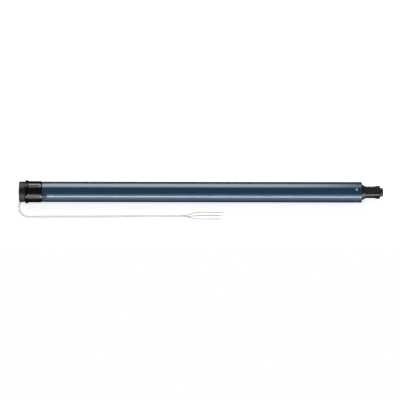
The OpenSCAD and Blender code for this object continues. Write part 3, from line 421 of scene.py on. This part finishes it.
finishSettings = {
    "tubeLacquer": {
        "colour": (0.004, 0.031, 0.07, 1), "roughness": 0.24, "spread": 0.06, "vary": 0.05, "ior": 1.9,
        "tint": (0.78, 0.9, 1.0, 1), "coat": 0.25, "coatRoughness": 0.12,
        "grain": drawnLines, "grainScale": 700.0, "bump": 0.05, "dust": 0.2},
    "crownGloss": {
        "colour": (0.002, 0.002, 0.0022, 1), "roughness": 0.26, "spread": 0.08, "vary": 0.02,
        "specular": 0.04, "coat": 1.0, "coatRoughness": 0.22, "coatIor": 1.75,
        "proud": {  # polished along the pads, and less on the lugs
            "Radius": 22.5, "Blend": 0.6, "Start": 16.5, "End": 52.0, "Fade": 3.5, "Tail": 0.35,
            "sunkRoughness": 0.3},
        "grain": mouldGrain, "grainScale": 1500.0, "bump": 0.06, "edge": 0.4, "dust": 0.35},
    "flangeGloss": {
        "colour": (0.005, 0.005, 0.0055, 1), "roughness": 0.26, "spread": 0.08, "vary": 0.1,
        "coat": 1.0, "coatRoughness": 0.32, "coatIor": 2.1,
        "grain": mouldGrain, "grainScale": 1500.0, "bump": 0.06, "edge": 0.4, "dust": 0.35},
    "capSatin": {
        "colour": (0.006, 0.006, 0.0063, 1), "roughness": 0.46, "spread": 0.14, "vary": 0.06,
        "grain": mouldGrain, "grainScale": 2600.0, "bump": 0.22, "edge": 0.35, "dust": 0.35},
    "shaftSatin": {
        "colour": (0.01, 0.0102, 0.0105, 1), "roughness": 0.34, "spread": 0.12, "vary": 0.04, "coat": 0.3,
        "grain": mouldGrain, "grainScale": 2200.0, "bump": 0.16, "edge": 0.35, "dust": 0.4},
    "sealRubber": {
        "colour": (0.012, 0.012, 0.012, 1), "roughness": 0.7, "spread": 0.12, "vary": 0.3,
        "grain": mouldGrain, "grainScale": 1800.0, "bump": 0.2, "edge": 0.2},
    "palePlastic": {
        "colour": (0.72, 0.72, 0.69, 1), "roughness": 0.42, "spread": 0.12, "vary": 0.08,
        "grain": mouldGrain, "grainScale": 2000.0, "bump": 0.12, "edge": 0.3},
    "gearAcetal": {
        "colour": (0.74, 0.67, 0.52, 1), "roughness": 0.38, "spread": 0.1, "vary": 0.1,
        "grain": mouldGrain, "grainScale": 2400.0, "bump": 0.1, "edge": 0.15},
    "boardGreen": {
        "colour": (0.02, 0.16, 0.06, 1), "roughness": 0.32, "spread": 0.12, "vary": 0.25,
        "grain": mouldGrain, "grainScale": 900.0, "bump": 0.1},
    "tapeYellow": {
        "colour": (0.72, 0.5, 0.04, 1), "roughness": 0.3, "spread": 0.12, "vary": 0.2,
        "grain": drawnLines, "grainScale": 500.0, "bump": 0.2},
    "brakeLining": {
        "colour": (0.16, 0.1, 0.06, 1), "roughness": 0.85, "spread": 0.2, "vary": 0.5,
        "grain": mouldGrain, "grainScale": 1200.0, "bump": 0.5},
    "turnedSteel": {
        "colour": (0.55, 0.55, 0.57, 1), "roughness": 0.3, "spread": 0.16, "vary": 0.15, "metallic": 1.0,
        "grain": drawnLines, "grainScale": 1400.0, "bump": 0.1, "edge": 0.15},
    "rivetSteel": {
        "colour": (0.6, 0.68, 0.8, 1), "roughness": 0.55, "spread": 0.14, "vary": 0.08, "metallic": 1.0,
        "grain": mouldGrain, "grainScale": 1600.0, "bump": 0.12},
    "castAlloy": {
        "colour": (0.6, 0.6, 0.61, 1), "roughness": 0.45, "spread": 0.18, "vary": 0.18, "metallic": 1.0,
        "grain": mouldGrain, "grainScale": 1300.0, "bump": 0.3, "edge": 0.3},
    "sinteredBronze": {
        "colour": (0.5, 0.32, 0.13, 1), "roughness": 0.42, "spread": 0.16, "vary": 0.25, "metallic": 1.0,
        "grain": mouldGrain, "grainScale": 1700.0, "bump": 0.25},
    "copperWire": {
        "colour": (0.78, 0.4, 0.2, 1), "roughness": 0.26, "spread": 0.14, "vary": 0.2, "metallic": 1.0,
        "grain": drawnLines, "grainScale": 1600.0, "bump": 0.15},
    "sheathWhite": {
        "colour": (0.9, 0.9, 0.895, 1), "roughness": 0.4, "spread": 0.12, "vary": 0.03,
        "grain": drawnLines, "grainScale": 900.0, "bump": 0.12, "dust": 0.12},
    "coreYellow": {
        "colour": (0.94, 0.9, 0.6, 1), "roughness": 0.36, "spread": 0.1, "vary": 0.04,
        "grain": drawnLines, "grainScale": 1200.0, "bump": 0.08},
    "coreGreen": {
        "colour": (0.62, 0.78, 0.54, 1), "roughness": 0.36, "spread": 0.1, "vary": 0.05,
        "grain": drawnLines, "grainScale": 1200.0, "bump": 0.08},
    "coreBrown": {
        "colour": (0.7, 0.61, 0.57, 1), "roughness": 0.36, "spread": 0.1, "vary": 0.06,
        "grain": drawnLines, "grainScale": 1200.0, "bump": 0.08},
    "coreBlue": {
        "colour": (0.56, 0.71, 0.9, 1), "roughness": 0.36, "spread": 0.1, "vary": 0.05,
        "grain": drawnLines, "grainScale": 1200.0, "bump": 0.08},
}
finishes = {name: newFinish(name, settings) for name, settings in finishSettings.items()}
print(len(finishes), "finishes made")

# which finish each solid wears
nodeFinishes = {
    "tubeLacquer": ["motor_tube"],
    "capSatin": ["head_cap", "head_neck", "prog_button", "prog_switch", "board_tray", "capacitor_cradle"],
    "crownGloss": ["crown"],
    "flangeGloss": ["relays", "output_flange"],
    "shaftSatin": ["drive_shaft", "latch_upper", "latch_lower"],
    "sealRubber": ["head_seal", "cable_grommet", "coupling_spider", "shaft_seal"],
    "palePlastic": ["terminal_block", "run_capacitor"],
    "gearAcetal": ["planet_1a", "planet_1b", "planet_1c"],
    "boardGreen": ["circuit_board", "radio_module"],
    "tapeYellow": ["supply_transformer"],
    "brakeLining": ["brake_lining"],
    "turnedSteel": [
        "stator_core", "rotor_core", "rotor_shaft", "brake_housing", "brake_disc", "brake_spring",
        "input_pinion", "ring_gear", "planet_carrier_1", "planet_carrier_2", "planet_2a", "planet_2b",
        "planet_2c", "planet_3a", "planet_3b", "planet_3c", "output_carrier"],
    "rivetSteel": ["flange_rivets", "cap_screws"],
    "castAlloy": ["rear_end_shield", "front_end_shield", "rotor_end_rings", "coupling_hub", "gearbox_cover"],
    "sinteredBronze": ["rotor_bushes", "output_bushes"],
    "copperWire": ["stator_winding"],
    "coreBrown": ["motor_leads"],
}
for finishName, nodeNames in nodeFinishes.items():
    for nodeName in nodeNames:
        slots = cadNodes[nodeName].data.materials
        slots.clear()
        slots.append(finishes[finishName])
print("solids dressed")


# round strand swept along points, with one finish for each band round it
def sweepStrand(points, radius, sides, bands):
    count = len(points)
    verts, faces, marks = [], [], []
    side = None
    for i, point in enumerate(points):
        run = (points[min(i + 1, count - 1)] - points[max(i - 1, 0)]).normalized()
        if side is None:
            side = run.cross(Vector((0, 0, 1))).normalized()
        side = (side - run * side.dot(run)).normalized()
        up = side.cross(run)
        for k in range(sides):
            turn = 2 * math.pi * k / sides
            verts.append(point + side * (radius * math.cos(turn)) + up * (radius * math.sin(turn)))
    for i in range(count - 1):
        for k in range(sides):
            a, b = i * sides + k, i * sides + (k + 1) % sides
            faces.append((a, b, b + sides, a + sides))
            marks.append(bands[k % len(bands)])
    faces.append(tuple(range(sides - 1, -1, -1)))
    faces.append(tuple((count - 1) * sides + k for k in range(sides)))
    marks += [bands[0], bands[0]]
    return verts, faces, marks


def meshObject(name, parts, finishNames):
    verts, faces, marks = [], [], []
    for partVerts, partFaces, partMarks in parts:
        base = len(verts)
        verts += partVerts
        faces += [tuple(base + v for v in face) for face in partFaces]
        marks += partMarks
    mesh = bpy.data.meshes.new(name)
    mesh.from_pydata([tuple(v) for v in verts], [], faces)
    for finishName in finishNames:
        mesh.materials.append(finishes[finishName])
    mesh.polygons.foreach_set("material_index", marks)
    mesh.polygons.foreach_set("use_smooth", [True] * len(faces))
    mesh.update()
    piece = bpy.data.objects.new(name, mesh)
    scene.collection.objects.link(piece)
    return piece


def smoothRoute(points, step):  # a curve through the points, in steps of about this length
    route = [Vector(p) * mm for p in points]
    ends = [route[0] * 2 - route[1]] + route + [route[-1] * 2 - route[-2]]
    out = []
    for i in range(1, len(ends) - 2):
        a, b, c, d = ends[i - 1:i + 3]
        pieces = max(1, round((c - b).length / (step * mm)))
        for k in range(pieces):
            t = k / pieces
            out.append(0.5 * (2 * b + (c - a) * t + (2 * a - 5 * b + 4 * c - d) * t * t
                              + (3 * b - a - 3 * c + d) * t * t * t))
    return out + [route[-1]]


# lead: white sheath from the head's grommet, then three cores with bare ends, all in millimetres
leadSettings = {
    "diameter": 6.0,
    "sides": 28,
    "step": 2.0,
    "route": [
        (3, -17.39, -14.59), (1, -21.99, -15.59), (-0.1, -26.89, -16.69), (-0.1, -31.89, -17.79),
        (1, -36.79, -18.79), (3, -41.39, -19.79), (5.9, -45.49, -20.69), (9.7, -48.79, -21.39),
        (14, -51.29, -21.99), (18.8, -52.89, -22.29), (23.8, -53.39, -22.49), (30, -53.39, -22.49),
        (40, -53.39, -22.39), (60, -53.19, -22.29), (80, -53.09, -22.19), (100, -52.99, -22.19),
        (120, -52.79, -22.09), (140, -52.69, -21.99), (160, -52.59, -21.89), (180, -52.49, -21.79),
        (200, -52.39, -21.79), (220, -52.29, -21.69), (240, -52.09, -21.59), (260, -51.99, -21.49),
        (280, -51.89, -21.39), (300, -51.79, -21.29), (320, -51.69, -21.29), (340, -51.59, -21.19),
        (350, -51.49, -21.09), (358, -51.49, -21.09)],
}
coreSettings = {
    "diameter": 2.3,
    "sides": 20,
    "step": 1.5,
    "strandsWith": "wire_live",  # the bare strands are one piece
}
wireSettings = {
    "wire_earth": {
        "slot": "core_green", "finishes": ["coreYellow", "coreGreen"],
        "bands": [0, 0, 0, 0, 0, 0, 1, 1, 1, 1],  # which of its finishes, on round the core
        "route": [
            (358, -50.19, -20.49), (361, -50.19, -20.49), (366, -48.89, -20.79), (372, -45.99, -21.49),
            (378, -42.89, -22.19), (384, -40.69, -22.59), (390, -39.79, -22.69), (397, -39.49, -22.69),
            (405, -39.49, -22.59), (413, -39.59, -22.59), (421, -39.89, -22.59), (430, -40.19, -22.49),
            (438, -40.19, -22.49)]},
    "wire_live": {
        "slot": "core_brown", "finishes": ["coreBrown"], "bands": [0],
        "route": [
            (358, -51.49, -22.49), (361, -51.49, -22.49), (367, -51.09, -22.59), (374, -50.39, -22.69),
            (381, -49.69, -22.79), (388, -49.09, -22.79), (395, -48.59, -22.69), (403, -48.29, -22.69),
            (411, -48.09, -22.69), (420, -47.99, -22.59), (429, -47.99, -22.59), (438, -47.99, -22.59)]},
    "wire_neutral": {
        "slot": "core_blue", "finishes": ["coreBlue"], "bands": [0],
        "route": [
            (358, -52.79, -20.49), (361, -52.79, -20.49), (366, -53.49, -20.79), (372, -54.89, -21.49),
            (378, -56.29, -22.19), (384, -57.39, -22.59), (390, -58.09, -22.69), (397, -58.39, -22.69),
            (405, -58.59, -22.59), (413, -58.59, -22.59), (421, -58.49, -22.59), (430, -58.39, -22.49),
            (438, -58.39, -22.49)]},
}
strandSettings = {
    "length": 9.0,
    "wire": 0.36,
    "bundle": 0.36,  # radius at which the outer wires lie round the middle one
    "lay": 14.0,  # length of one full turn
    "sides": 8,
    "rings": 30,
    "shortBy": [0.0, 0.75, 0.5, 0.25, 0.0, 0.75, 0.5],  # one wire each, the middle one first
}


def addLead(settings):
    route = smoothRoute(settings["route"], settings["step"])
    radius = settings["diameter"] / 2 * mm
    strand = sweepStrand(route, radius, settings["sides"], [0])
    piece = meshObject("mainsLead", [strand], ["sheathWhite"])
    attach(piece, "housing")
    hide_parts("mains_cable")


def addStrands(ends, settings):  # twisted wires at the end of each core
    outer = len(settings["shortBy"]) - 1
    parts = []
    for end in ends:
        for wire, short in enumerate(settings["shortBy"]):
            reach = 0.0 if wire == 0 else settings["bundle"] * mm
            cut = settings["length"] - short
            points = []
            for i in range(settings["rings"]):
                run = cut * i / (settings["rings"] - 1)
                turn = 2 * math.pi * (run / settings["lay"] + wire / outer)
                points.append(end + Vector((run * mm, reach * math.cos(turn), reach * math.sin(turn))))
            parts.append(sweepStrand(points, settings["wire"] / 2 * mm, settings["sides"], [0]))
    piece = meshObject("bareStrands", parts, ["copperWire"])
    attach(piece, "housing")
    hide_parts("wire_tips")
    return piece


def addCores(settings, wires):
    ends = [Vector(wire["route"][-1]) * mm for wire in wires.values()]
    bare = addStrands(ends, strandSettings)
    radius = settings["diameter"] / 2 * mm
    for name, wire in wires.items():
        route = smoothRoute(wire["route"], settings["step"])
        strand = sweepStrand(route, radius, settings["sides"], wire["bands"])
        piece = meshObject(name + "_core", [strand], wire["finishes"])
        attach(piece, "housing")
        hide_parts(name)


addLead(leadSettings)
addCores(coreSettings, wireSettings)
print("lead, cores and strands laid")
